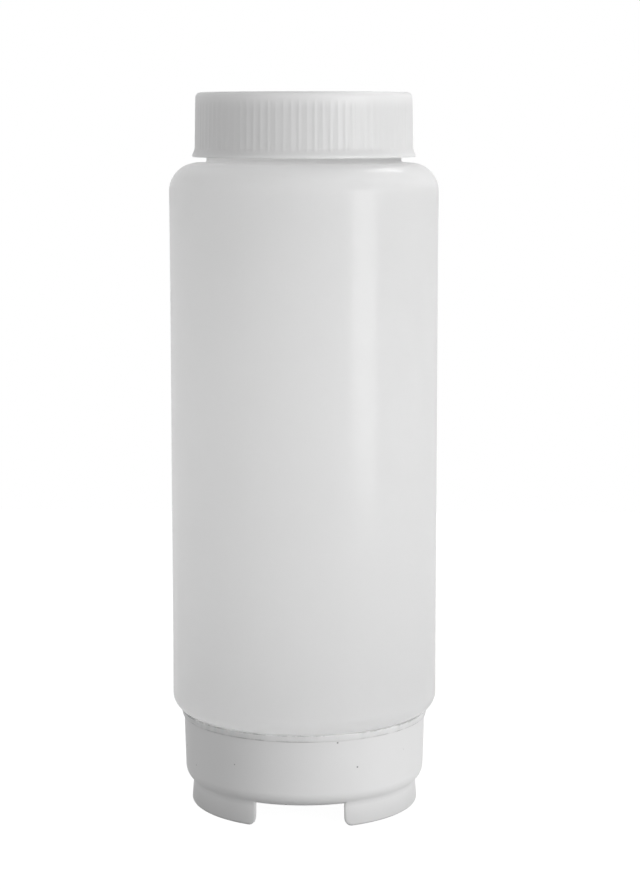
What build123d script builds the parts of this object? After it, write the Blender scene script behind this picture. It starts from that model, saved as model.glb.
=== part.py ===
from build123d import *
from math import pi
import os

# Condiment squeeze bottle stood on its dispensing end. Millimetres and degrees.
# +Z is up, the origin is on the rest plane below the bottle's axis, and -Y is the front.

# Blow-moulded bottle body
body_radius = 38.1  # a three inch cylinder
body_height = 157.1  # from the flat of the lower shoulder to the flat of the upper one
body_wall = 1.3
top_shoulder_radius = 8.0
low_shoulder_radius = 4.8
top_neck_radius = 27.5
top_neck_length = 16.6
top_neck_root_radius = 0.8
low_neck_radius = 31.3
low_neck_length = 17.6

# Ribbed refill cap on the upper neck
cap_thread_room = 1.6  # from the neck's wall to the inside of the skirt
cap_wall = 1.4  # over the ribs, at the top
cap_draft = 0.3  # how much wider the skirt is where it meets the flange
cap_plate_thickness = 1.6
cap_skirt_length = 16.4
cap_edge_radius = 1.1
cap_flange_overhang = 0.7
cap_flange_height = 1.7
cap_flange_lip = 0.8  # upright part of the flange's edge
rib_count = 90
rib_width = 0.55
rib_depth = 0.25
rib_run_out = 2.2  # height over which a groove fades out at its top
rib_top_band = 1.9  # smooth band above the ribs

# Liners that seal the two necks
refill_seal_thickness = 1.4
refill_seal_clearance = 0.3
base_seal_thickness = 1.4
base_seal_clearance = 0.4
base_seal_width = 4.4

# Dispensing base: screw collar, deck and feet
collar_thread_room = 1.3  # from the neck's wall to the inside of the collar
collar_wall = 1.8  # at the collar's lower end
collar_draft = 0.5  # how much thicker the wall is under the rim
collar_round_radius = 4.4
rim_overhang = 0.85
rim_height = 1.9
rim_draft = 0.4  # how much narrower the rim is at its lower edge
rim_gap = 0.3  # between the collar and the flat of the bottle's lower shoulder
rim_lip_height = 0.6  # how far the rim's edge rises to follow the shoulder's round
rim_lip_width = 0.35
rim_lip_run = 1.2
rim_chamfer = 0.2
deck_thickness = 2.0
foot_height = 6.3
foot_inset = 1.6  # from the outside of the collar in to the feet
foot_wall = 3.0
foot_draft = 0.45  # how far the feet draw in under the collar
foot_edge_radius = 0.9
foot_corner_radius = 2.5
notch_width = 24.9
root_depth = 1.0  # how far the feet and the hinge ears run up into the deck

# Valve pocket in the middle of the deck
port_radius = 9.6
port_lip_thickness = 1.2
pocket_radius = 12.6
pocket_wall = 1.8
pocket_rise = 3.6  # above the deck
boss_wall = 1.0
boss_drop = 1.8  # below the deck
boss_chamfer = 0.4

# Silicone valve, and the ring that holds it in the pocket
valve_flange_thickness = 1.3
valve_clearance = 0.2
valve_sleeve_radius = 9.1
valve_sleeve_wall = 0.8
valve_sleeve_drop = 1.8  # below the flange
valve_head_thickness = 0.9
valve_head_crown = 1.1  # how far the middle of the head stands above its edge
slit_length = 9.0
slit_width = 0.25
retainer_bore_radius = 9.9
retainer_height = 2.4
retainer_press = 0.05
retainer_chamfer = 0.5

# Flip cover under the valve
cover_gap = 0.6  # between the boss and the cover's skirt
cover_skirt_wall = 1.4
cover_skirt_height = 2.0
cover_plate_thickness = 1.4
cover_plate_drop = 0.9  # from the boss to the cover's plate
cover_chamfer = 0.6
plug_radius = 5.0
plug_wall = 1.2
plug_gap = 0.35  # between the plug and the valve's head
plug_chamfer = 0.8
tab_width = 10.0
tab_length = 4.2
tab_thickness = 1.3
tab_corner_radius = 2.0

# Cover hinge, on an axis along X behind the valve
hinge_setback = 2.4  # from the cover's skirt to the axis
barrel_radius = 1.6
barrel_half_length = 5.7
pin_radius = 1.1
pin_clearance = 0.06
ear_gap = 0.3
ear_thickness = 2.0
ear_radius = 1.9

# Levels, stacked up and down from the deck
deck_level = foot_height + deck_thickness
low_lip_level = deck_level + base_seal_thickness
low_shoulder_level = low_lip_level + low_neck_length
top_shoulder_level = low_shoulder_level + body_height
top_lip_level = top_shoulder_level + top_neck_length
cap_plate_level = top_lip_level + refill_seal_thickness
cap_top_level = cap_plate_level + cap_plate_thickness
cap_low_level = cap_plate_level - cap_skirt_length
flange_top_level = cap_low_level + cap_flange_height
rib_top_level = cap_top_level - rib_top_band
collar_level = low_shoulder_level - rim_gap
rim_level = collar_level + rim_lip_height
root_level = foot_height + root_depth
pocket_level = deck_level + pocket_rise
valve_top_level = pocket_level - port_lip_thickness
valve_low_level = valve_top_level - valve_flange_thickness
sleeve_low_level = valve_low_level - valve_sleeve_drop
boss_level = foot_height - boss_drop
plate_level = boss_level - cover_plate_drop
plate_low_level = plate_level - cover_plate_thickness
cover_skirt_level = plate_level + cover_skirt_height

# Radii and places that follow from what fits in what
low_shoulder_round = min(low_shoulder_radius, body_radius - low_neck_radius)
top_shoulder_round = min(top_shoulder_radius, body_radius - top_neck_radius - top_neck_root_radius)
cap_inner_radius = top_neck_radius + cap_thread_room
cap_radius = cap_inner_radius + cap_wall
cap_low_radius = cap_radius + cap_draft
cap_flange_radius = cap_low_radius + cap_flange_overhang
refill_seal_radius = cap_inner_radius - refill_seal_clearance
collar_inner_radius = low_neck_radius + collar_thread_room
collar_low_radius = collar_inner_radius + collar_wall
collar_top_radius = collar_low_radius + collar_draft
rim_radius = collar_top_radius + rim_overhang
foot_radius = collar_low_radius - foot_inset
base_seal_radius = collar_inner_radius - base_seal_clearance
pocket_outer_radius = pocket_radius + pocket_wall
boss_radius = pocket_radius + boss_wall
head_radius = valve_sleeve_radius - valve_sleeve_wall
cover_inner_radius = boss_radius + cover_gap
cover_radius = cover_inner_radius + cover_skirt_wall
hinge_y = cover_radius + hinge_setback
hinge_z = plate_low_level + barrel_radius
ear_inner = barrel_half_length + ear_gap
ear_outer = ear_inner + ear_thickness


# Bottle body: one revolved skin, left open at both necks
with BuildPart() as squeeze_bottle:
    with BuildSketch(Plane.XZ):
        with BuildLine():
            FilletPolyline(
                (0, low_lip_level),
                (low_neck_radius, low_lip_level),
                (low_neck_radius, low_shoulder_level),
                (body_radius, low_shoulder_level),
                (body_radius, top_shoulder_level),
                (top_neck_radius, top_shoulder_level),
                (top_neck_radius, top_lip_level),
                (0, top_lip_level),
                radius=[0, 0, low_shoulder_round, top_shoulder_round, top_neck_root_radius, 0],
            )
            Line((0, top_lip_level), (0, low_lip_level))
        make_face()
    revolve(axis=Axis.Z)
    flats = squeeze_bottle.faces().filter_by(Plane.XY).sort_by(Axis.Z)
    offset(amount=-body_wall, openings=[flats[0], flats[-1]])


# Recess between two grip ribs, with a floor that keeps the draft of the skirt
def skirt_radius(level):
    return cap_radius + cap_draft * (cap_top_level - level) / (cap_top_level - flange_top_level)


groove_width = 2 * pi * cap_radius / rib_count - rib_width
rib_floor_level = rib_top_level - rib_run_out
rib_floor_radius = skirt_radius(rib_floor_level) - rib_depth
rib_slope = rib_run_out / rib_depth
with BuildPart() as grip_groove:
    with BuildSketch(Plane.XZ):
        with BuildLine():
            Polyline(
                (skirt_radius(flange_top_level) - rib_depth, flange_top_level),
                (rib_floor_radius, rib_floor_level),
                (cap_flange_radius, rib_floor_level + (cap_flange_radius - rib_floor_radius) * rib_slope),
                (cap_flange_radius, flange_top_level),
                close=True,
            )
        make_face()
    extrude(amount=groove_width / 2, both=True)


# Refill cap: plate, drafted skirt and flange, with the grip cut round the skirt
with BuildPart() as refill_cap:
    with BuildSketch(Plane.XZ):
        with BuildLine():
            FilletPolyline(
                (0, cap_top_level),
                (cap_radius, cap_top_level),
                (cap_low_radius, flange_top_level),
                (cap_flange_radius, cap_low_level + cap_flange_lip),
                (cap_flange_radius, cap_low_level),
                (cap_inner_radius, cap_low_level),
                (cap_inner_radius, cap_plate_level),
                (0, cap_plate_level),
                radius=[cap_edge_radius, 0, 0, 0, 0, 0],
            )
            Line((0, cap_plate_level), (0, cap_top_level))
        make_face()
    revolve(axis=Axis.Z)
    with PolarLocations(0, rib_count):
        add(grip_groove.part, mode=Mode.SUBTRACT)


with BuildPart() as refill_cap_seal:
    with BuildSketch(Plane.XY.offset(top_lip_level)):
        Circle(refill_seal_radius)
    extrude(amount=refill_seal_thickness)


with BuildPart() as base_seal:
    with BuildSketch(Plane.XY.offset(deck_level)):
        Circle(base_seal_radius)
        Circle(base_seal_radius - base_seal_width, mode=Mode.SUBTRACT)
    extrude(amount=base_seal_thickness)


# Feet: a drafted ring with a notch at the front and one at the back
with BuildPart() as foot_ring:
    with BuildSketch(Plane.XZ):
        with BuildLine():
            Polyline(
                (foot_radius - foot_wall, 0),
                (foot_radius, 0),
                (foot_radius - foot_draft, root_level),
                (foot_radius - foot_wall, root_level),
                close=True,
            )
        make_face()
    revolve(axis=Axis.Z)
    with BuildSketch(Plane.XZ):
        Rectangle(notch_width, 2 * root_level)
    extrude(amount=foot_radius, both=True, mode=Mode.SUBTRACT)
    fillet(foot_ring.edges().filter_by(Axis.Y).group_by(Axis.Z)[0], foot_corner_radius)
    outer_edges = foot_ring.edges().filter_by(
        lambda edge: (edge @ 0.5).Z < root_level
        and Vector((edge @ 0.5).X, (edge @ 0.5).Y).length > foot_radius - foot_wall / 2
    )
    fillet(outer_edges, foot_edge_radius)


# Ear that carries one end of the cover's pin
with BuildPart() as hinge_ear:
    with BuildSketch(Plane.YZ.offset(ear_inner)):
        with Locations((hinge_y, (hinge_z + root_level) / 2)):
            Rectangle(2 * ear_radius, root_level - hinge_z)
        with Locations((hinge_y, hinge_z)):
            Circle(ear_radius)
            Circle(pin_radius + pin_clearance, mode=Mode.SUBTRACT)
    extrude(amount=ear_thickness)


# Dispensing base: collar, rim, deck and valve pocket in one revolve, on its feet
with BuildPart() as dispensing_base:
    with BuildSketch(Plane.XZ) as base_half:
        with BuildLine():
            Polyline(
                (port_radius, valve_top_level),
                (port_radius, pocket_level),
                (pocket_outer_radius, pocket_level),
                (pocket_outer_radius, deck_level),
                (collar_inner_radius, deck_level),
                (collar_inner_radius, collar_level),
                (rim_radius - rim_lip_width - rim_lip_run, collar_level),
                (rim_radius - rim_lip_width, rim_level),
                (rim_radius, rim_level),
                (rim_radius - rim_draft, rim_level - rim_height),
                (collar_top_radius, rim_level - rim_height),
                (collar_low_radius, foot_height),
                (boss_radius, foot_height),
                (boss_radius, boss_level),
                (pocket_radius, boss_level),
                (pocket_radius, valve_top_level),
                close=True,
            )
        make_face()
        chamfer(base_half.vertices().sort_by_distance((rim_radius, rim_level))[0], rim_chamfer)
        chamfer(base_half.vertices().sort_by_distance((boss_radius, boss_level))[0], boss_chamfer)
        fillet(
            base_half.vertices().sort_by_distance((collar_low_radius, foot_height))[0],
            collar_round_radius,
        )
    revolve(axis=Axis.Z)
    add(foot_ring.part)
    add(hinge_ear.part)
    mirror(hinge_ear.part, about=Plane.YZ)


# Silicone valve: clamped flange, thin sleeve and a dished head with a cross slit
with BuildPart() as dispensing_valve:
    with BuildSketch(Plane.XZ):
        with BuildLine():
            Polyline(
                (0, sleeve_low_level + valve_head_crown),
                (head_radius, sleeve_low_level),
                (valve_sleeve_radius, sleeve_low_level),
                (valve_sleeve_radius, valve_low_level),
                (pocket_radius - valve_clearance, valve_low_level),
                (pocket_radius - valve_clearance, valve_top_level),
                (head_radius, valve_top_level),
                (head_radius, sleeve_low_level + valve_head_thickness),
                (0, sleeve_low_level + valve_head_crown + valve_head_thickness),
                close=True,
            )
        make_face()
    revolve(axis=Axis.Z)
    with BuildSketch(Plane.XY.offset(sleeve_low_level)):
        Rectangle(slit_length, slit_width)
        Rectangle(slit_width, slit_length)
    extrude(amount=valve_top_level - sleeve_low_level, mode=Mode.SUBTRACT)


with BuildPart() as valve_retainer:
    with BuildSketch(Plane.XY.offset(valve_low_level - retainer_height)):
        Circle(pocket_radius + retainer_press)
        Circle(retainer_bore_radius, mode=Mode.SUBTRACT)
    extrude(amount=retainer_height)
    chamfer(valve_retainer.edges().group_by(Axis.Z)[0].sort_by(SortBy.RADIUS)[0], retainer_chamfer)


# Flip cover: dished plate with a cored plug under the slit, a thumb tab and a hinge barrel
plug_level = sleeve_low_level + valve_head_crown * (1 - plug_radius / head_radius) - plug_gap
with BuildPart() as valve_cover:
    with BuildSketch(Plane.XZ) as cover_half:
        with BuildLine():
            Polyline(
                (0, plug_level),
                (plug_radius, plug_level),
                (plug_radius, plate_level),
                (cover_inner_radius, plate_level),
                (cover_inner_radius, cover_skirt_level),
                (cover_radius, cover_skirt_level),
                (cover_radius, plate_low_level),
                (plug_radius - plug_wall, plate_low_level),
                (plug_radius - plug_wall, plug_level - plug_wall),
                (0, plug_level - plug_wall),
                close=True,
            )
        make_face()
        chamfer(cover_half.vertices().sort_by_distance((plug_radius, plug_level))[0], plug_chamfer)
        chamfer(cover_half.vertices().sort_by_distance((cover_radius, plate_low_level))[0], cover_chamfer)
    revolve(axis=Axis.Z)
    with BuildSketch(Plane.XY.offset(cover_skirt_level - tab_thickness)):
        with Locations((0, -(cover_inner_radius + cover_radius + tab_length) / 2)):
            RectangleRounded(tab_width, tab_length + cover_skirt_wall, tab_corner_radius)
        Circle(cover_inner_radius, mode=Mode.SUBTRACT)
    extrude(amount=tab_thickness)
    with BuildSketch(Plane.YZ):
        with Locations((hinge_y, hinge_z)):
            Circle(barrel_radius)
        with Locations(((cover_inner_radius + hinge_y) / 2, plate_low_level + cover_plate_thickness / 2)):
            Rectangle(hinge_y - cover_inner_radius, cover_plate_thickness)
    extrude(amount=barrel_half_length, both=True)
    with BuildSketch(Plane.YZ):
        with Locations((hinge_y, hinge_z)):
            Circle(pin_radius)
    extrude(amount=ear_outer, both=True)


pieces = {
    "squeeze_bottle": squeeze_bottle,
    "refill_cap": refill_cap,
    "refill_cap_seal": refill_cap_seal,
    "dispensing_base": dispensing_base,
    "base_seal": base_seal,
    "dispensing_valve": dispensing_valve,
    "valve_retainer": valve_retainer,
    "valve_cover": valve_cover,
}
os.makedirs("parts", exist_ok=True)
for name, piece in pieces.items():
    piece.part.label = name
    export_step(piece.part, f"parts/{name}.step")
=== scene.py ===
import bpy
import bmesh
from math import atan2, acos, ceil, cos, hypot, pi, radians, sin, sqrt
from mathutils import Matrix, Vector, noise


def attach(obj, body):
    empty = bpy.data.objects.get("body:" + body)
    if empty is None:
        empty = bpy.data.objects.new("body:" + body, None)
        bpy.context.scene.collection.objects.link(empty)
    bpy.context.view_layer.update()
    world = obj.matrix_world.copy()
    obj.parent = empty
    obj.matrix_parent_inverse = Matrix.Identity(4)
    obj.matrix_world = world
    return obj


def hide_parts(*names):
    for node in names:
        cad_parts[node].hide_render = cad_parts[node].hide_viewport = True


# Condiment squeeze bottle stood on its dispensing end: metres, +Z up, the front towards -Y.
# Sizes in the dictionaries are millimetres and degrees.
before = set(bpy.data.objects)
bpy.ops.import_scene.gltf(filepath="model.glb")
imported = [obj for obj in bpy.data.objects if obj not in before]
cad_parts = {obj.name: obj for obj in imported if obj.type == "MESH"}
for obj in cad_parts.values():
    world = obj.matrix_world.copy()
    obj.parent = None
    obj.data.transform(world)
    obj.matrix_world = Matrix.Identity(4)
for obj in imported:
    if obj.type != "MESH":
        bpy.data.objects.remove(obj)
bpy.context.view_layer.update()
mm = 0.001
print("frame loaded:", len(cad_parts), "nodes")

# How exact the mesh work is, in mm: how far off its radius an edge or a point still counts as
# part of a wall, how close two points are merged, how short an edge is dropped, how near a cut
# takes a point as its own, and how far apart two places count as the same
exact = {"edge": 0.6, "wall": 0.02, "merge": 0.0005, "drop": 0.0002, "cut": 0.0002, "same": 0.01}


# Rounds corners or edges off, by a radius in the mesh's own unit
def roundOff(mesh, items, radius, segments, kind="EDGES"):
    bmesh.ops.bevel(mesh, geom=items, affect=kind, offset=radius, offset_type="OFFSET",
                    segments=segments, profile=0.5, material=-1)


# A piece turned about the bottle's axis from an outline in mm. A corner is (radius, height), or
# (radius, height, round, segments) where it is rounded. Upright walls are cut into rows by
# {radius: row height}. One sector is turned first and then repeated all round
def turned(outline, rows=None, sectors=24, columns=10):
    mesh = bmesh.new()
    corners = [mesh.verts.new((point[0] * mm, 0, point[1] * mm)) for point in outline]
    for first, second in zip(corners, corners[1:]):
        mesh.edges.new((first, second))
    if outline[0][0] > 0:
        mesh.edges.new((corners[-1], corners[0]))
    for corner, point in zip(corners, outline):
        if len(point) > 2:
            roundOff(mesh, [corner], point[2] * mm, point[3], "VERTICES")
    for wall, rowHeight in (rows or {}).items():
        for edge in list(mesh.edges):
            length = edge.calc_length()
            onWall = all(abs(vert.co.x - wall * mm) < exact["edge"] * mm for vert in edge.verts)
            if length > rowHeight * mm and onWall:
                cuts = ceil(length / (rowHeight * mm)) - 1
                bmesh.ops.subdivide_edges(mesh, edges=[edge], cuts=cuts)
    bmesh.ops.spin(mesh, geom=mesh.verts[:] + mesh.edges[:], cent=(0, 0, 0), axis=(0, 0, 1),
                   dvec=(0, 0, 0), angle=2 * pi / sectors, steps=columns)
    bmesh.ops.spin(mesh, geom=mesh.verts[:] + mesh.edges[:] + mesh.faces[:], cent=(0, 0, 0),
                   axis=(0, 0, 1), dvec=(0, 0, 0), angle=2 * pi * (sectors - 1) / sectors,
                   steps=sectors - 1, use_duplicate=True)
    bmesh.ops.remove_doubles(mesh, verts=mesh.verts, dist=exact["merge"] * mm)
    bmesh.ops.dissolve_degenerate(mesh, edges=mesh.edges, dist=exact["drop"] * mm)
    bmesh.ops.recalc_face_normals(mesh, faces=mesh.faces)
    return mesh


# A square bar in mm, from its size and the place of its middle
def makeBar(size, middle):
    mesh = bmesh.new()
    bmesh.ops.create_cube(mesh, size=1.0)
    bmesh.ops.scale(mesh, vec=Vector(size), verts=mesh.verts)
    bmesh.ops.translate(mesh, vec=Vector(middle), verts=mesh.verts)
    return mesh


# Moves a point to another distance from the bottle's axis
def setRadius(vert, radius, newRadius):
    vert.co.x *= newRadius / radius
    vert.co.y *= newRadius / radius


# Screws: right-handed with two starts, and ridges that fade in and out at their ends
screw = {"lead": 10.0, "starts": 2, "fade": 0.06}
halfPitch = screw["lead"] / screw["starts"] / 2
# A ridge reaches out of its wall, or in where its reach is negative. It is full as far as crest
# and gone at foot, and a cap's ridges run half a pitch off its neck's
ridges = {
    "topNeck": {"reach": 1.2, "low": 188.4, "turns": 0.96, "crest": 0.45, "foot": 1.15},
    "lowNeck": {"reach": 1.0, "low": 11.6, "turns": 1.35, "crest": 0.45, "foot": 1.15},
    "cap": {"reach": -1.25, "low": 188.4 - halfPitch, "turns": 1.3, "crest": 0.4, "foot": 1.05},
    "base": {"reach": -1.0, "low": 11.6 + halfPitch, "turns": 1.15, "crest": 0.4, "foot": 1.05},
}


# Raises the screw's ridges out of the upright wall of this radius
def raiseThread(mesh, wall, ridge):
    for vert in mesh.verts:
        radius = hypot(vert.co.x, vert.co.y)
        if abs(radius - wall * mm) > exact["wall"] * mm:
            continue
        share = atan2(vert.co.y, vert.co.x) / (2 * pi)
        height = vert.co.z / mm
        lift = 0.0
        for start in range(screw["starts"]):
            turnPart = (share - start / screw["starts"]) % 1.0
            for whole in range(ceil(ridge["turns"])):
                along = turnPart + whole
                if along > ridge["turns"]:
                    continue
                away = abs(height - ridge["low"] - screw["lead"] * along)
                side = (ridge["foot"] - away) / (ridge["foot"] - ridge["crest"])
                ends = min(1.0, along / screw["fade"], (ridge["turns"] - along) / screw["fade"])
                lift = max(lift, max(0.0, min(1.0, side)) * ends)
        if lift > 0:
            setRadius(vert, radius, radius + ridge["reach"] * lift * mm)


# Makes the object of a finished mesh, smooth but for its real edges
def placed(name, mesh, material, body, node, sharpAngle=38):
    data = bpy.data.meshes.new(name)
    mesh.to_mesh(data)
    mesh.free()
    data.polygons.foreach_set("use_smooth", [True] * len(data.polygons))
    data.set_sharp_from_angle(angle=radians(sharpAngle))
    data.materials.append(material)
    piece = bpy.data.objects.new(name, data)
    bpy.context.scene.collection.objects.link(piece)
    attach(piece, body)
    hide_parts(node)
    data.calc_loop_triangles()
    print(name, len(data.loop_triangles), "triangles")


# Adds one mesh to another
def joinInto(mesh, other):
    data = bpy.data.meshes.new("joined")
    other.to_mesh(data)
    other.free()
    mesh.from_mesh(data)
    bpy.data.meshes.remove(data)


# An sRGB hex value as linear red, green, blue and alpha
def linear(hexValue):
    channels = [int(hexValue[i:i + 2], 16) / 255 for i in (1, 3, 5)]
    return [c / 12.92 if c <= 0.04045 else ((c + 0.055) / 1.055) ** 2.4 for c in channels] + [1.0]


# Adds a node with its settings, and links or sets its inputs
def addNode(tree, kind, inputs=None, **settings):
    node = tree.nodes.new(kind)
    for key, value in settings.items():
        setattr(node, key, value)
    for socket, value in (inputs or {}).items():
        if isinstance(value, bpy.types.NodeSocket):
            tree.links.new(value, node.inputs[socket])
        else:
            node.inputs[socket].default_value = value
    return node


# An empty node tree for a new material, with its output and the object's own coordinates
def startMaterial(name):
    material = bpy.data.materials.new(name)
    material.use_nodes = True
    tree = material.node_tree
    tree.nodes.clear()
    output = addNode(tree, "ShaderNodeOutputMaterial")
    place = addNode(tree, "ShaderNodeTexCoord").outputs["Object"]
    return material, tree, output, place


# LDPE, natural, blow moulded: milky and translucent, with a soft satin skin from the mould and
# slow changes in the wall's thickness. How much comes through is given as (level, share): most at
# the necks, and least at the upper shoulder
ldpe = {
    "color": "#ededed", "thinColor": "#f3f3f3", "roughness": 0.2, "ior": 1.51, "specular": 0.4,
    "scatter": 0.8, "cloudSize": 34.0, "skinSize": 0.5, "skinBump": 0.012,
    "throughColor": "#f9f9f9",
    "through": ((24, 0.85), (34, 0.69), (176, 0.66), (181, 0.46), (183.6, 0.62), (184.3, 0.97)),
}


def makeLdpe():
    material, tree, output, place = startMaterial("LDPE natural blow moulded")
    clouds = addNode(tree, "ShaderNodeTexNoise", {
        "Vector": place, "Scale": 1 / (ldpe["cloudSize"] * mm), "Detail": 3.0, "Roughness": 0.55})
    color = addNode(tree, "ShaderNodeMix", {
        "Factor": clouds.outputs["Fac"], "A": linear(ldpe["color"]),
        "B": linear(ldpe["thinColor"])}, data_type="RGBA")
    skin = addNode(tree, "ShaderNodeTexNoise", {
        "Vector": place, "Scale": 1 / (ldpe["skinSize"] * mm), "Detail": 2.0})
    bump = addNode(tree, "ShaderNodeBump", {
        "Height": skin.outputs["Fac"], "Strength": 0.25, "Distance": ldpe["skinBump"] * mm})
    shader = addNode(tree, "ShaderNodeBsdfPrincipled", {
        "Base Color": color.outputs["Result"], "Roughness": ldpe["roughness"], "IOR": ldpe["ior"],
        "Specular IOR Level": ldpe["specular"],
        "Subsurface Weight": 1.0, "Subsurface Radius": (1.0, 1.0, 1.0),
        "Subsurface Scale": ldpe["scatter"] * mm, "Normal": bump.outputs["Normal"]})
    glow = addNode(tree, "ShaderNodeBsdfTranslucent", {"Color": linear(ldpe["throughColor"])})
    height = addNode(tree, "ShaderNodeSeparateXYZ", {"Vector": place}).outputs["Z"]
    topLevel = ldpe["through"][-1][0]
    share = addNode(tree, "ShaderNodeMath", {0: height, 1: topLevel * mm}, operation="DIVIDE")
    thickness = addNode(tree, "ShaderNodeValToRGB", {"Fac": share.outputs[0]})
    stops = thickness.color_ramp.elements
    stops.remove(stops[1])
    for level, through in ldpe["through"]:
        stops.new(level / topLevel).color = (through, through, through, 1.0)
    stops.remove(stops[0])
    milky = addNode(tree, "ShaderNodeMixShader", {
        0: thickness.outputs["Color"], 1: shader.outputs["BSDF"], 2: glow.outputs["BSDF"]})
    tree.links.new(milky.outputs[0], output.inputs["Surface"])
    return material


# PP, natural white, injection moulded: denser than the bottle, with a finer and duller skin. The
# cap is thin enough to glow a little. Both are painted darker below a level as painted shade, and
# the base has grey lines at its rim's edges, painted shade there, mottled like grime
pp = {
    "ior": 1.49, "cloudSize": 16.0, "darker": 0.96, "skinSize": 0.35, "skinBump": 0.01,
    "shadeAndGrimeColor": "#8c8c8c", "mottleSize": 6.0, "smearFrom": 0.42, "smearTo": 0.66,
    "smearShare": 0.6, "speckSize": 5.5, "speckReach": 0.045, "speckSoft": 1.4,
}
# The cap is painted darker below its smooth top band: painted shade, as if lit from above
capPp = {
    "color": "#f6f6f6", "roughness": 0.42, "specular": 0.35, "scatter": 1.2, "scatterShare": 1.0,
    "through": 0.12, "specks": 0.0, "paintedShadeBelow": (199.0, 203.2, 0.885), "shadeAndGrimeLevels": (),
}
# The base is painted darker towards the floor as painted shade, and its rim's grey lines are
# painted shade mottled like grime
basePp = {
    "color": "#f6f6f6", "roughness": 0.45, "specular": 0.03, "scatter": 0.8, "scatterShare": 0.0,
    "through": 0.02, "specks": 0.8, "paintedShadeBelow": (0.0, 9.0, 0.86),
    "shadeAndGrimeLevels": ((27.5, 0.17, 1.0), (25.75, 0.2, 1.0), (26.6, 1.1, 0.2)),
}


def makePp(name, values):
    material, tree, output, place = startMaterial(name)
    clouds = addNode(tree, "ShaderNodeTexNoise", {
        "Vector": place, "Scale": 1 / (pp["cloudSize"] * mm), "Detail": 3.0, "Roughness": 0.5})
    color = linear(values["color"])
    dull = [channel * pp["darker"] for channel in color[:3]] + [1.0]
    mixed = addNode(tree, "ShaderNodeMix", {
        "Factor": clouds.outputs["Fac"], "A": color, "B": dull}, data_type="RGBA")
    # painted shade: darkest at the first level and below, to this share, and unshaded from the
    # second
    height = addNode(tree, "ShaderNodeSeparateXYZ", {"Vector": place}).outputs["Z"]
    low, high, share = values["paintedShadeBelow"]
    unshaded = addNode(tree, "ShaderNodeMapRange", {
        "Value": height, "From Min": low * mm, "From Max": high * mm,
        "To Min": share, "To Max": 1.0}, interpolation_type="SMOOTHSTEP")
    mixed = addNode(tree, "ShaderNodeMix", {
        "Factor": 1.0, "A": mixed.outputs["Result"], "B": unshaded.outputs["Result"]},
        data_type="RGBA", blend_type="MULTIPLY")
    # a few dark specks in the plastic, and grey lines along levels given as (level, reach, share),
    # mottled in smears: painted shade at the rim's top and bottom edges, partly real grime, and a
    # faint mottled grime over the rim between them
    cells = addNode(tree, "ShaderNodeTexVoronoi", {
        "Vector": place, "Scale": 1 / (pp["speckSize"] * mm)})
    dirtAndShade = addNode(tree, "ShaderNodeMapRange", {
        "Value": cells.outputs["Distance"], "From Min": pp["speckReach"] * pp["speckSoft"],
        "From Max": pp["speckReach"], "To Max": values["specks"]}).outputs["Result"]
    smears = addNode(tree, "ShaderNodeTexNoise", {
        "Vector": place, "Scale": 1 / (pp["mottleSize"] * mm), "Detail": 5.0, "Roughness": 0.7})
    smear = addNode(tree, "ShaderNodeMapRange", {
        "Value": smears.outputs["Fac"], "From Min": pp["smearFrom"], "From Max": pp["smearTo"],
        "To Max": pp["smearShare"]})
    # painted shade lines along the rim's edges, mottled like grime, and a faint grime band over the
    # rim
    for level, reach, strength in values["shadeAndGrimeLevels"]:
        away = addNode(tree, "ShaderNodeMath", {
            0: height, 1: level * mm, 2: reach * mm}, operation="COMPARE")
        edge = addNode(tree, "ShaderNodeMath", {
            0: away.outputs[0], 1: smear.outputs["Result"]}, operation="MULTIPLY")
        edge = addNode(tree, "ShaderNodeMath", {
            0: edge.outputs[0], 1: strength}, operation="MULTIPLY")
        dirtAndShade = addNode(tree, "ShaderNodeMath", {
            0: dirtAndShade, 1: edge.outputs[0]}, operation="MAXIMUM").outputs[0]
    mixed = addNode(tree, "ShaderNodeMix", {
        "Factor": dirtAndShade, "A": mixed.outputs["Result"], "B": linear(pp["shadeAndGrimeColor"])},
        data_type="RGBA")
    skin = addNode(tree, "ShaderNodeTexNoise", {
        "Vector": place, "Scale": 1 / (pp["skinSize"] * mm), "Detail": 2.0})
    bump = addNode(tree, "ShaderNodeBump", {
        "Height": skin.outputs["Fac"], "Strength": 0.25, "Distance": pp["skinBump"] * mm})
    shader = addNode(tree, "ShaderNodeBsdfPrincipled", {
        "Base Color": mixed.outputs["Result"], "Roughness": values["roughness"], "IOR": pp["ior"],
        "Specular IOR Level": values["specular"],
        "Subsurface Weight": values["scatterShare"], "Subsurface Radius": (1.0, 1.0, 1.0),
        "Subsurface Scale": values["scatter"] * mm, "Normal": bump.outputs["Normal"]})
    glow = addNode(tree, "ShaderNodeBsdfTranslucent", {"Color": color})
    milky = addNode(tree, "ShaderNodeMixShader", {
        0: values["through"], 1: shader.outputs["BSDF"], 2: glow.outputs["BSDF"]})
    tree.links.new(milky.outputs[0], output.inputs["Surface"])
    return material


# PE foam, cut from sheet: matt, with fine closed cells
foam = {"color": "#ececea", "roughness": 0.85, "ior": 1.5, "cellSize": 0.35, "cellBump": 0.06}


def makeFoam():
    material, tree, output, place = startMaterial("PE foam liner")
    cells = addNode(tree, "ShaderNodeTexVoronoi", {
        "Vector": place, "Scale": 1 / (foam["cellSize"] * mm)})
    bump = addNode(tree, "ShaderNodeBump", {
        "Height": cells.outputs["Distance"], "Strength": 0.5, "Distance": foam["cellBump"] * mm})
    shader = addNode(tree, "ShaderNodeBsdfPrincipled", {
        "Base Color": linear(foam["color"]), "Roughness": foam["roughness"], "IOR": foam["ior"],
        "Normal": bump.outputs["Normal"]})
    tree.links.new(shader.outputs["BSDF"], output.inputs["Surface"])
    return material


# Silicone rubber, compression moulded: milky, with a soft sheen that dust dulls in places
silicone = {
    "color": "#dfe1e4", "roughness": 0.48, "cleaner": 0.06, "dustier": 0.08, "dustSize": 1.2,
    "ior": 1.41, "scatter": 3.0,
}


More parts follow.
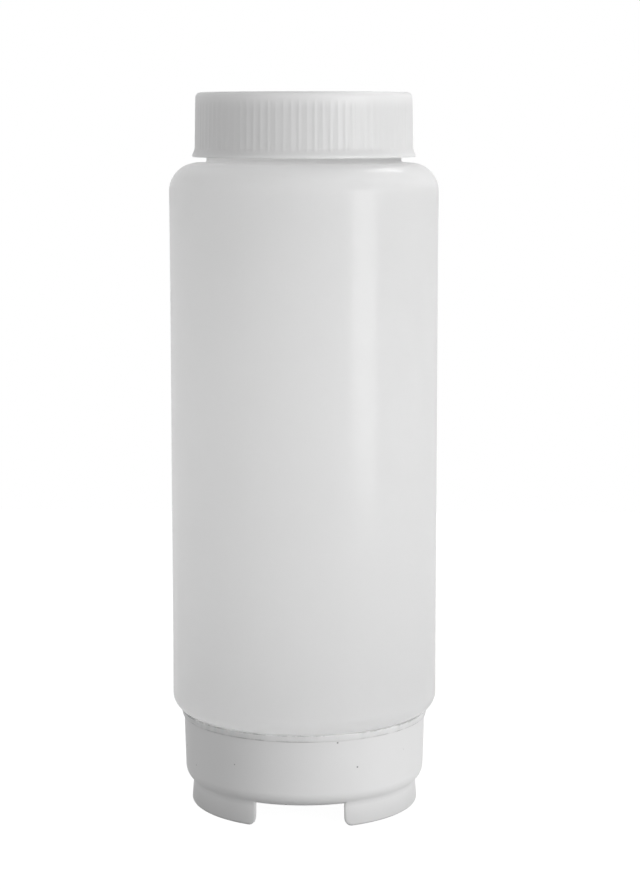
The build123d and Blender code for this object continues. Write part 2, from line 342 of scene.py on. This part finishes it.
def makeSilicone():
    material, tree, output, place = startMaterial("Silicone rubber")
    dust = addNode(tree, "ShaderNodeTexNoise", {
        "Vector": place, "Scale": 1 / (silicone["dustSize"] * mm), "Detail": 3.0})
    rough = addNode(tree, "ShaderNodeMapRange", {
        "Value": dust.outputs["Fac"], "To Min": silicone["roughness"] - silicone["cleaner"],
        "To Max": silicone["roughness"] + silicone["dustier"]})
    shader = addNode(tree, "ShaderNodeBsdfPrincipled", {
        "Base Color": linear(silicone["color"]), "Roughness": rough.outputs["Result"],
        "IOR": silicone["ior"], "Subsurface Weight": 1.0, "Subsurface Radius": (1.0, 1.0, 1.0),
        "Subsurface Scale": silicone["scatter"] * mm})
    tree.links.new(shader.outputs["BSDF"], output.inputs["Surface"])
    return material


bottleMaterial = makeLdpe()
capMaterial = makePp("PP natural, injection moulded cap", capPp)
baseMaterial = makePp("PP natural, injection moulded base", basePp)
foamMaterial = makeFoam()
siliconeMaterial = makeSilicone()
print("materials made")


# Bottle: parison blown into the mould, so the wall is even and every corner is round. Between
# its sag levels the barrel sinks in by a hair, where the wall cooled unevenly
bottle = {
    "radius": 38.1, "wall": 1.3, "lowShoulder": 27.3, "topShoulder": 184.4,
    "lowNeck": 31.3, "lowLip": 9.7, "topNeck": 27.5, "topLip": 201.0,
    "lowRound": 4.8, "topRound": 8.0, "lowRoot": 0.5, "topRoot": 0.8, "lipRound": 0.4,
    "barrelRow": 6.0, "threadRow": 0.25,
    "sag": 0.12, "sagSize": 55.0, "sagLow": 33, "sagTop": 177, "sagFade": 12, "sagFrom": 35,
}


def makeBottle():
    b = bottle
    wall = b["wall"]
    outline = [
        (b["lowNeck"], b["lowLip"], b["lipRound"], 3),
        (b["lowNeck"], b["lowShoulder"], b["lowRoot"], 3),
        (b["radius"], b["lowShoulder"], b["lowRound"], 12),
        (b["radius"], b["topShoulder"], b["topRound"], 16),
        (b["topNeck"], b["topShoulder"], b["topRoot"], 6),
        (b["topNeck"], b["topLip"], b["lipRound"], 3),
        (b["topNeck"] - wall, b["topLip"], b["lipRound"], 3),
        (b["topNeck"] - wall, b["topShoulder"] - wall, b["topRoot"] + wall, 6),
        (b["radius"] - wall, b["topShoulder"] - wall, b["topRound"] - wall, 10),
        (b["radius"] - wall, b["lowShoulder"] + wall, b["lowRound"] - wall, 8),
        (b["lowNeck"] - wall, b["lowShoulder"] + wall, wall, 4),
        (b["lowNeck"] - wall, b["lowLip"], b["lipRound"], 3),
    ]
    rows = {
        b["radius"]: b["barrelRow"], b["radius"] - wall: b["barrelRow"],
        b["lowNeck"]: b["threadRow"], b["topNeck"]: b["threadRow"],
    }
    mesh = turned(outline, rows)
    raiseThread(mesh, b["topNeck"], ridges["topNeck"])
    raiseThread(mesh, b["lowNeck"], ridges["lowNeck"])
    for vert in mesh.verts:
        radius = hypot(vert.co.x, vert.co.y)
        if radius > b["sagFrom"] * mm:
            height = vert.co.z / mm
            inward = b["sag"] * mm * (0.5 + 0.5 * noise.noise(vert.co / (b["sagSize"] * mm)))
            inward *= max(0.0, min(1.0, (height - b["sagLow"]) / b["sagFade"],
                                   (b["sagTop"] - height) / b["sagFade"]))
            setRadius(vert, radius, radius - inward)
    placed("bottleBody", mesh, bottleMaterial, "bottle", "squeeze_bottle")


# Refill cap: ribs of eight columns each, with a narrow soft crest between wider grooves. Wear is
# a slow pattern down each rib, and wearStep is how far it moves on from one rib to the next
cap = {
    "radius": 30.5, "draft": 0.3, "inner": 29.1, "top": 204.0, "plate": 202.4, "low": 186.0,
    "flange": 31.5, "flangeTop": 188.0, "flangeLip": 0.8, "threadRow": 0.32,
    "edgeRound": 1.5, "flangeRoot": 0.9, "lipRound": 0.35, "lowRound": 0.25, "mouthRound": 0.3,
    "plateRound": 0.6, "gateRadius": 1.6, "gateDepth": 0.35, "gateRun": 0.4,
    "ribs": 90, "ribDepth": 0.1, "ribTop": 202.1, "ribRun": 2.2, "runRows": 4,
    "ribShape": (1.0, 1.0, 0.9, 0.35, 0.0, 0.35, 0.9, 1.0),
    "wear": 0.9, "wearSize": 7.0, "wearRows": 3, "wearStep": 1.7, "wearPlace": 0.5,
}


def makeCap():
    c = cap
    # the skirt leans out to the flange, in close rows where the grooves fade out at the top and
    # in wide ones below
    fullDepth = c["ribTop"] - c["ribRun"]
    levels = [c["ribTop"] - c["ribRun"] * row / c["runRows"] for row in range(c["runRows"])]
    levels += [fullDepth + (c["flangeTop"] - fullDepth) * row / c["wearRows"]
               for row in range(c["wearRows"])]
    lean = c["draft"] / (c["top"] - c["flangeTop"])
    outline = [
        (0, c["top"] - c["gateDepth"]), (c["gateRadius"], c["top"] - c["gateDepth"]),
        (c["gateRadius"] + c["gateRun"], c["top"]),
        (c["radius"], c["top"], c["edgeRound"], 8),
        *((c["radius"] + lean * (c["top"] - level), level) for level in levels),
        (c["radius"] + c["draft"], c["flangeTop"], c["flangeRoot"], 6),
        (c["flange"], c["low"] + c["flangeLip"], c["lipRound"], 4),
        (c["flange"], c["low"], c["lowRound"], 3),
        (c["inner"], c["low"], c["mouthRound"], 3),
        (c["inner"], c["plate"], c["plateRound"], 4), (0, c["plate"]),
    ]
    columns = len(c["ribShape"])
    mesh = turned(outline, {c["inner"]: c["threadRow"]}, c["ribs"], columns)
    # presses the grooves in, uneven from rib to rib, as a worn mould leaves them
    outside = (c["radius"] + c["inner"]) / 2
    for vert in mesh.verts:
        radius = hypot(vert.co.x, vert.co.y)
        height = vert.co.z / mm
        fade = min(1.0, (c["ribTop"] - height) / c["ribRun"])
        if radius > outside * mm and height > c["flangeTop"] + exact["same"] and fade > 0:
            column = round(atan2(vert.co.y, vert.co.x) / (2 * pi) * c["ribs"] * columns)
            rib = column // columns % c["ribs"]
            spot = Vector((rib * c["wearStep"], height / c["wearSize"], c["wearPlace"]))
            wear = 1 + c["wear"] * noise.noise(spot)
            soft = fade * fade * (3 - 2 * fade)
            depth = c["ribDepth"] * c["ribShape"][column % columns] * soft * wear
            setRadius(vert, radius, radius - depth * mm)
    raiseThread(mesh, c["inner"], ridges["cap"])
    placed("refillCapRibbed", mesh, capMaterial, "cap", "refill_cap")


# Dispensing base: one moulding of collar, rim, deck and valve pocket, stood on two curved feet
base = {
    "inner": 32.6, "lowRadius": 34.4, "topRadius": 34.9, "collarTop": 27.0, "threadRow": 0.3,
    "rim": 35.75, "rimLow": 25.7, "rimTop": 27.6, "rimDraft": 0.4, "lipWidth": 0.35, "lipRun": 1.2,
    "deckLow": 6.3, "deckTop": 8.3, "port": 9.6, "seat": 10.7, "pocket": 12.6,
    "pocketTop": 11.9, "pocketOuter": 14.4, "boss": 13.6, "bossLow": 4.5,
    "portRound": 0.3, "pocketRound": 0.6, "deckRound": 0.8, "mouthRound": 0.3, "lipRound": 0.4,
    "lipEdge": 0.15, "rimRound": 0.22, "rimFoot": 0.2, "rimRoot": 0.25, "collarRound": 4.4,
    "bossRoot": 0.5, "bossRound": 0.3,
}
# A foot flares out in a concave blend between its blend levels, where it runs into the collar
feet = {
    "outer": 32.8, "wall": 3.0, "draft": 0.45, "top": 7.7, "notchHalf": 12.45,
    "blendLow": 5.59, "blendTop": 7.66, "blendRound": 3.0, "blendRows": 8,
    "cornerRound": 2.5, "edgeRound": 0.9, "innerRound": 0.35, "cuts": 88,
}
ears = {"y": 18.0, "z": 3.8, "radius": 1.9, "bore": 1.16, "inner": 6.0, "outer": 8.0, "top": 6.4}


# One foot: a flat bar with its corners rounded, then wrapped round the axis between the notches
def makeFoot(side):
    f = feet
    inner = f["outer"] - f["wall"]
    halfSpan = f["outer"] * acos(f["notchHalf"] / f["outer"])
    mesh = makeBar((2 * halfSpan, f["wall"], f["top"]), (0, inner + f["wall"] / 2, f["top"] / 2))
    ends = [edge for edge in mesh.edges if all(vert.co.z < exact["same"] for vert in edge.verts)
            and abs(edge.verts[0].co.x - edge.verts[1].co.x) < exact["same"]]
    roundOff(mesh, ends, f["cornerRound"], 8)
    for wall, amount in ((f["outer"], f["edgeRound"]), (inner, f["innerRound"])):
        edges = [edge for edge in mesh.edges
                 if all(abs(vert.co.y - wall) < exact["same"] for vert in edge.verts)
                 and not all(vert.co.z > f["top"] - exact["same"] for vert in edge.verts)]
        roundOff(mesh, edges, amount, 4)
    flat = halfSpan - f["cornerRound"]
    blend = f["blendTop"] - f["blendLow"]
    cuts = [((-flat + 2 * flat * cut / f["cuts"], 0, 0), (1, 0, 0)) for cut in range(1, f["cuts"])]
    cuts += [((0, 0, f["blendLow"] + blend * row / (f["blendRows"] - 1)), (0, 0, 1))
             for row in range(f["blendRows"])]
    for place, direction in cuts:
        bmesh.ops.bisect_plane(mesh, geom=mesh.verts[:] + mesh.edges[:] + mesh.faces[:],
                               dist=exact["cut"], plane_co=place, plane_no=direction)
    for vert in mesh.verts:
        along, radius, height = vert.co
        turn = along / halfSpan * acos(f["notchHalf"] / radius)
        above = max(0.0, min(height, f["blendTop"]) - f["blendLow"])
        flare = f["blendRound"] - sqrt(f["blendRound"] ** 2 - above ** 2)
        lean = f["draft"] * min(height, f["blendLow"]) / f["blendLow"]
        radius += (flare - lean) * (radius - inner) / f["wall"]
        vert.co = Vector((side * radius * cos(turn), radius * sin(turn), height)) * mm
    bmesh.ops.recalc_face_normals(mesh, faces=mesh.faces)
    return mesh


# One hinge ear: a rounded plate with the bore for the cover's pin
def makeEar(side):
    e = ears
    mesh = bmesh.new()
    corners = [mesh.verts.new((0, y, z)) for y, z in (
        (-e["radius"], e["top"] - e["z"]), (-e["radius"], -e["radius"]),
        (e["radius"], -e["radius"]), (e["radius"], e["top"] - e["z"]))]
    for first, second in zip(corners, corners[1:] + corners[:1]):
        mesh.edges.new((first, second))
    for corner in corners[1:3]:
        roundOff(mesh, [corner], e["radius"] * 0.999, 12, "VERTICES")  # just short of each other
    bmesh.ops.create_circle(mesh, segments=32, radius=e["bore"], cap_ends=False,
                            matrix=Matrix.Rotation(pi / 2, 4, "Y"))
    bmesh.ops.triangle_fill(mesh, edges=mesh.edges, use_beauty=True, use_dissolve=False)
    thick = bmesh.ops.extrude_face_region(mesh, geom=mesh.faces[:])
    moved = [item for item in thick["geom"] if isinstance(item, bmesh.types.BMVert)]
    bmesh.ops.translate(mesh, vec=Vector((e["outer"] - e["inner"], 0, 0)), verts=moved)
    for vert in mesh.verts:
        x, y, z = vert.co
        vert.co = Vector((side * (x + e["inner"]), y + e["y"], z + e["z"])) * mm
    bmesh.ops.recalc_face_normals(mesh, faces=mesh.faces)
    return mesh


def makeBase():
    b = base
    lip = b["rim"] - b["lipWidth"]
    outline = [
        (b["port"], b["seat"]),
        (b["port"], b["pocketTop"], b["portRound"], 3),
        (b["pocketOuter"], b["pocketTop"], b["pocketRound"], 4),
        (b["pocketOuter"], b["deckTop"], b["pocketRound"], 4),
        (b["inner"], b["deckTop"], b["deckRound"], 4),
        (b["inner"], b["collarTop"], b["mouthRound"], 3),
        (lip - b["lipRun"], b["collarTop"], b["lipRound"], 3),
        (lip, b["rimTop"], b["lipEdge"], 2),
        (b["rim"], b["rimTop"], b["rimRound"], 3),
        (b["rim"] - b["rimDraft"], b["rimLow"], b["rimFoot"], 3),
        (b["topRadius"], b["rimLow"], b["rimRoot"], 3),
        (b["lowRadius"], b["deckLow"], b["collarRound"], 12),
        (b["boss"], b["deckLow"], b["bossRoot"], 4),
        (b["boss"], b["bossLow"], b["bossRound"], 3),
        (b["pocket"], b["bossLow"], b["bossRound"], 3),
        (b["pocket"], b["seat"]),
    ]
    mesh = turned(outline, {b["inner"]: b["threadRow"]})
    raiseThread(mesh, b["inner"], ridges["base"])
    for side in (1, -1):
        joinInto(mesh, makeFoot(side))
        joinInto(mesh, makeEar(side))
    placed("dispensingBaseMoulding", mesh, baseMaterial, "base", "dispensing_base",
           sharpAngle=30)


# Liners: foam discs whose cut edges are a little rounded
liners = {
    "refillRadius": 28.8, "refillLow": 201.0, "refillTop": 202.4,
    "baseOuter": 32.2, "baseInner": 27.8, "baseLow": 8.3, "baseTop": 9.7, "round": 0.25,
}


def makeLiners():
    s = liners
    edge = (s["round"], 3)
    disc = turned([
        (0, s["refillLow"]), (s["refillRadius"], s["refillLow"], *edge),
        (s["refillRadius"], s["refillTop"], *edge), (0, s["refillTop"]),
    ], sectors=16, columns=8)
    placed("refillCapLiner", disc, foamMaterial, "cap_liner", "refill_cap_seal")
    gasket = turned([
        (s["baseInner"], s["baseLow"], *edge), (s["baseOuter"], s["baseLow"], *edge),
        (s["baseOuter"], s["baseTop"], *edge), (s["baseInner"], s["baseTop"], *edge),
    ], sectors=16, columns=8)
    placed("baseLinerRing", gasket, foamMaterial, "base_liner", "base_seal")


# Slit valve: clamped flange, thin rolling sleeve and a dished head cut by two crossed slits
valve = {
    "flange": 12.4, "flangeTop": 10.7, "flangeLow": 9.4, "sleeve": 9.1, "sleeveLow": 7.6,
    "head": 8.3, "headWall": 0.9, "crown": 1.1, "rings": 14,
    "slitHalf": 4.5, "slitWidth": 0.14, "slitMargin": 0.4,
    "headRound": 0.35, "rootRound": 0.3, "flangeRound": 0.25,
}


def makeValve():
    v = valve
    flangeEdge = (v["flangeRound"], 3)
    low = [(v["head"] * i / v["rings"], v["sleeveLow"] + v["crown"] * (1 - (i / v["rings"]) ** 2))
           for i in range(v["rings"] + 1)]
    high = [(radius, height + v["headWall"]) for radius, height in reversed(low)]
    mesh = turned([
        *low,
        (v["sleeve"], v["sleeveLow"], v["headRound"], 4),
        (v["sleeve"], v["flangeLow"], v["rootRound"], 3),
        (v["flange"], v["flangeLow"], *flangeEdge),
        (v["flange"], v["flangeTop"], *flangeEdge),
        (v["head"], v["flangeTop"], *flangeEdge),
        *high,
    ], sectors=12, columns=8)
    # the head's lower and upper skins are cut through together along the slits
    half, reach = v["slitWidth"] / 2 * mm, v["slitHalf"] * mm
    for plane in ((1, 0, 0), (0, 1, 0)):
        for shift in (-1, 1):
            near = [face for face in mesh.faces
                    if face.calc_center_median().xy.length < reach + v["slitMargin"] * mm]
            geometry = list({item for face in near for item in (*face.verts, *face.edges)}) + near
            bmesh.ops.bisect_plane(mesh, geom=geometry, dist=exact["cut"] * mm,
                                   plane_co=Vector(plane) * shift * half, plane_no=plane)

    def inSlit(face):
        center = face.calc_center_median()
        across, along = sorted((abs(center.x), abs(center.y)))
        return across < half and along < reach

    cut = [face for face in mesh.faces if inSlit(face)]
    bmesh.ops.delete(mesh, geom=cut, context="FACES")
    loops = [edge for edge in mesh.edges if edge.is_boundary]
    bmesh.ops.bridge_loops(mesh, edges=loops)
    bmesh.ops.recalc_face_normals(mesh, faces=mesh.faces)
    placed("slitValve", mesh, siliconeMaterial, "base", "dispensing_valve",
           sharpAngle=40)


# Snap ring under the valve's flange, with a lead-in at the bore
snapRing = {"outer": 12.6, "bore": 9.9, "low": 7.0, "top": 9.4, "leadIn": 0.5, "round": 0.2}


def makeRetainer():
    r = snapRing
    edge = (r["round"], 3)
    mesh = turned([
        (r["bore"], r["low"], r["leadIn"], 4), (r["outer"], r["low"], *edge),
        (r["outer"], r["top"], *edge), (r["bore"], r["top"], *edge),
    ], sectors=16, columns=8)
    placed("valveRetainerRing", mesh, baseMaterial, "base", "valve_retainer")


# Flip cover: plate with a skirt round the boss, a cored plug, a thumb tab and a hinge barrel
cover = {
    "skirtOuter": 15.6, "skirtInner": 14.2, "skirtTop": 5.6, "plateTop": 3.6, "plateLow": 2.2,
    "plug": 5.0, "plugWall": 1.2, "plugTop": 7.687, "plugRound": 0.8,
    "skirtRound": 0.35, "innerRound": 0.25, "edgeRound": 0.6, "rootRound": 0.4,
    "tabWidth": 10.0, "tabEnd": 19.8, "tabLow": 4.3, "tabInset": 0.5, "tabRound": 2.0,
    "tabEdge": 0.3, "armInset": 0.3, "armTrim": 0.2, "armWall": 1.4, "armRound": 0.2,
    "hingeY": 18.0, "hingeZ": 3.8, "barrel": 1.6, "barrelHalf": 5.7, "barrelRound": 0.15,
    "pin": 1.1, "pinHalf": 8.0, "pinRound": 0.25,
}


def makeCover():
    c = cover
    core = c["plug"] - c["plugWall"]
    root = (c["rootRound"], 3)
    mesh = turned([
        (0, c["plugTop"]),
        (c["plug"], c["plugTop"], c["plugRound"], 5),
        (c["plug"], c["plateTop"], *root),
        (c["skirtInner"], c["plateTop"], *root),
        (c["skirtInner"], c["skirtTop"], c["innerRound"], 3),
        (c["skirtOuter"], c["skirtTop"], c["skirtRound"], 3),
        (c["skirtOuter"], c["plateLow"], c["edgeRound"], 5),
        (core, c["plateLow"], *root),
        (core, c["plugTop"] - c["plugWall"], *root),
        (0, c["plugTop"] - c["plugWall"]),
    ], sectors=18, columns=8)
    # thumb tab on the skirt's front
    inside = c["skirtInner"] + c["tabInset"]
    tab = makeBar((c["tabWidth"], c["tabEnd"] - inside, c["skirtTop"] - c["tabLow"]),
                  (0, -(c["tabEnd"] + inside) / 2, (c["skirtTop"] + c["tabLow"]) / 2))
    uprights = [edge for edge in tab.edges
                if abs(edge.verts[0].co.z - edge.verts[1].co.z) > exact["same"]
                and edge.verts[0].co.y < -c["skirtOuter"]]
    roundOff(tab, uprights, c["tabRound"], 8)
    rim = [edge for edge in tab.edges
           if abs(edge.verts[0].co.z - edge.verts[1].co.z) < exact["same"]]
    roundOff(tab, rim, c["tabEdge"], 3)
    # arm between the skirt and the barrel, then the barrel with its two pins
    armLength = c["hingeY"] - c["skirtInner"] - c["armInset"]
    arm = makeBar((2 * c["barrelHalf"] - c["armTrim"], armLength, c["armWall"]),
                  (0, c["hingeY"] - armLength / 2, c["plateLow"] + c["armWall"] / 2))
    roundOff(arm, arm.edges[:], c["armRound"], 2)
    barrel = turned([
        (0, -c["pinHalf"]), (c["pin"], -c["pinHalf"], c["pinRound"], 3),
        (c["pin"], -c["barrelHalf"]), (c["barrel"], -c["barrelHalf"], c["barrelRound"], 2),
        (c["barrel"], c["barrelHalf"], c["barrelRound"], 2), (c["pin"], c["barrelHalf"]),
        (c["pin"], c["pinHalf"], c["pinRound"], 3), (0, c["pinHalf"]),
    ], sectors=8, columns=6)
    hinge = Matrix.Translation(Vector((0, c["hingeY"], c["hingeZ"])) * mm)
    bmesh.ops.transform(barrel, matrix=hinge @ Matrix.Rotation(pi / 2, 4, "Y"), verts=barrel.verts)
    for part in (tab, arm):
        bmesh.ops.scale(part, vec=Vector((mm, mm, mm)), verts=part.verts)
    for part in (tab, arm, barrel):
        joinInto(mesh, part)
    bmesh.ops.recalc_face_normals(mesh, faces=mesh.faces)
    placed("flipCover", mesh, baseMaterial, "cover", "valve_cover", sharpAngle=35)


makeBottle()
makeCap()
makeBase()
makeLiners()
makeValve()
makeRetainer()
makeCover()
print("pieces made")


# Studio: white paper floor and background in a room that is a little brighter from the front,
# with one tall softbox at the right front and a smaller one high at the right back. Their sizes
# are metres and degrees
studio = {
    "worldSides": 0.7, "worldTop": 0.37, "worldFront": 0.08,
    "floorColor": "#b8b8b8", "floorSize": 1.0, "floorGlow": 1.4, "floorShare": 0.3,
    "grainScale": 900.0, "grainBump": 0.0001, "aimHeight": 0.11,
}
softboxes = {
    "keySoftbox": {
        "turn": 53, "distance": 0.85, "level": 0.13, "width": 0.34, "height": 0.45, "power": 3.57},
    "backSoftbox": {
        "turn": 150, "distance": 0.6, "level": 0.86, "width": 0.3, "height": 0.3, "power": 1.7},
}


# One for what the camera sees, directly, mirrored or through a clear piece, and zero for light
def seenDirectly(tree):
    rays = addNode(tree, "ShaderNodeLightPath").outputs
    seen = rays["Is Camera Ray"]
    for ray in ("Is Glossy Ray", "Is Transmission Ray"):
        seen = addNode(tree, "ShaderNodeMath", {0: seen, 1: rays[ray]}, operation="MAXIMUM")
        seen = seen.outputs[0]
    return seen


# White to the camera, and to the bottle a room whose light changes with its direction
def makeWorld():
    s = studio
    world = bpy.data.worlds.new("White studio")
    bpy.context.scene.world = world
    world.use_nodes = True
    tree = world.node_tree
    tree.nodes.clear()
    seen = seenDirectly(tree)
    direction = addNode(tree, "ShaderNodeTexCoord").outputs["Generated"]
    direction = addNode(tree, "ShaderNodeSeparateXYZ", {"Vector": direction})
    level = addNode(tree, "ShaderNodeMapRange", {
        "Value": direction.outputs["Z"], "From Min": 0.0, "From Max": 1.0,
        "To Min": s["worldSides"], "To Max": s["worldTop"]})
    level = addNode(tree, "ShaderNodeMath", {
        0: direction.outputs["Y"], 1: -s["worldFront"], 2: level.outputs["Result"]},
        operation="MULTIPLY_ADD")
    white = (1, 1, 1, 1)
    room = addNode(tree, "ShaderNodeBackground", {"Color": white, "Strength": level.outputs[0]})
    paper = addNode(tree, "ShaderNodeBackground", {"Color": white, "Strength": 1.0})
    mixed = addNode(tree, "ShaderNodeMixShader", {0: seen, 1: room.outputs[0], 2: paper.outputs[0]})
    output = addNode(tree, "ShaderNodeOutputWorld")
    tree.links.new(mixed.outputs[0], output.inputs["Surface"])


# White to the camera, with the bottle's soft shadow kept, and clear from below
def makeFloor():
    s = studio
    material, tree, output, place = startMaterial("White paper floor")
    seen = seenDirectly(tree)
    grain = addNode(tree, "ShaderNodeTexNoise", {
        "Vector": place, "Scale": s["grainScale"], "Detail": 2.0})
    bump = addNode(tree, "ShaderNodeBump", {
        "Height": grain.outputs["Fac"], "Strength": 0.1, "Distance": s["grainBump"]})
    plain = addNode(tree, "ShaderNodeBsdfDiffuse", {
        "Color": linear(s["floorColor"]), "Normal": bump.outputs["Normal"]})
    glow = addNode(tree, "ShaderNodeEmission", {"Strength": s["floorGlow"]})
    lit = addNode(tree, "ShaderNodeMixShader", {
        0: s["floorShare"], 1: glow.outputs[0], 2: plain.outputs[0]})
    shown = addNode(tree, "ShaderNodeMixShader", {0: seen, 1: plain.outputs[0], 2: lit.outputs[0]})
    clear = addNode(tree, "ShaderNodeBsdfTransparent")
    behind = addNode(tree, "ShaderNodeNewGeometry").outputs["Backfacing"]
    sided = addNode(tree, "ShaderNodeMixShader", {
        0: behind, 1: shown.outputs[0], 2: clear.outputs[0]})
    tree.links.new(sided.outputs[0], output.inputs["Surface"])
    mesh = bmesh.new()
    bmesh.ops.create_grid(mesh, x_segments=1, y_segments=1, size=s["floorSize"] / 2)
    data = bpy.data.meshes.new("paperFloor")
    mesh.to_mesh(data)
    mesh.free()
    data.materials.append(material)
    floorObject = bpy.data.objects.new("paperFloor", data)
    bpy.context.scene.collection.objects.link(floorObject)


# Softboxes stand round the bottle, turned about it from the front, and aim at its middle
def makeLamps():
    aim = Vector((0, 0, studio["aimHeight"]))
    for name, box in softboxes.items():
        lamp = bpy.data.lights.new(name, "AREA")
        lamp.shape = "RECTANGLE"
        lamp.size, lamp.size_y, lamp.energy = box["width"], box["height"], box["power"]
        holder = bpy.data.objects.new(name, lamp)
        angle = radians(box["turn"])
        x, y = sin(angle) * box["distance"], -cos(angle) * box["distance"]
        holder.location = (x, y, box["level"])
        holder.rotation_euler = (aim - holder.location).to_track_quat("-Z", "Y").to_euler()
        bpy.context.scene.collection.objects.link(holder)


makeWorld()
makeFloor()
makeLamps()

# Camera: stands a little right of the front, level with the cap, and looks down a little
view = {
    "place": (28.05, -661.86, 196.57), "turn": (82.036, 0.0, 2.035),
    "lens": 94.24, "sensor": 36.0, "nearest": 10.0,
}
camera = bpy.data.objects.new("frontCamera", bpy.data.cameras.new("frontCamera"))
camera.data.lens = view["lens"]
camera.data.sensor_width = view["sensor"]
camera.data.clip_start = view["nearest"] * mm
camera.location = Vector(view["place"]) * mm
camera.rotation_euler = [radians(angle) for angle in view["turn"]]
bpy.context.scene.collection.objects.link(camera)
bpy.context.scene.camera = camera
bpy.context.scene.view_settings.view_transform = "Standard"
print("studio and camera set")
